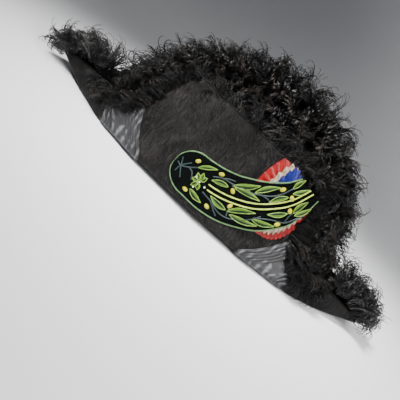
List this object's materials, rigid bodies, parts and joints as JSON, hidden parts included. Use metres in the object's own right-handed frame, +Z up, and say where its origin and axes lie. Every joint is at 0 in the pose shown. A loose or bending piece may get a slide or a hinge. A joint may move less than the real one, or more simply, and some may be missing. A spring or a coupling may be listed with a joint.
{
  "type": "bicorne hat",
  "caption": "Black felt bicorne dress hat with upturned flaps, pointed horns, pleated ribbon bands, curly feather trim, a pleated cockade and an embroidered loop band.",
  "frame": {"origin": "middle of the hat at the height of the surface it stands on", "axes": "+X towards the front horn, -Y towards the side with the cockade, +Z up"},
  "size_m": [0.5118, 0.1821, 0.1938],
  "materials": {
    "felt": "black long-nap plush felt",
    "crown_felt": "matt black felt",
    "ribbon": "black watered silk ribbon, soft sheen",
    "cockade_red": "pleated red satin",
    "cockade_white": "pleated cream white satin",
    "cockade_blue": "pleated blue satin",
    "velvet": "dark blue-green velvet",
    "border_cord": "twisted grey-green cord",
    "centre_cord": "yellow-green cord",
    "feather": "black curled ostrich feather"
  },
  "bodies": {
    "root": {"brim": "felt", "crown": "crown_felt", "fore_ribbon": "ribbon", "aft_ribbon": "ribbon", "cockade_red": "cockade_red", "cockade_white": "cockade_white", "cockade_blue": "cockade_blue", "loop_band": "velvet", "loop_border_cord": "border_cord", "loop_centre_cord_upper": "centre_cord", "loop_centre_cord_lower": "centre_cord", "near_crest": "feather", "far_crest": "feather", "fore_tuft": "feather", "aft_tuft": "feather"}
  },
  "joints": []
}
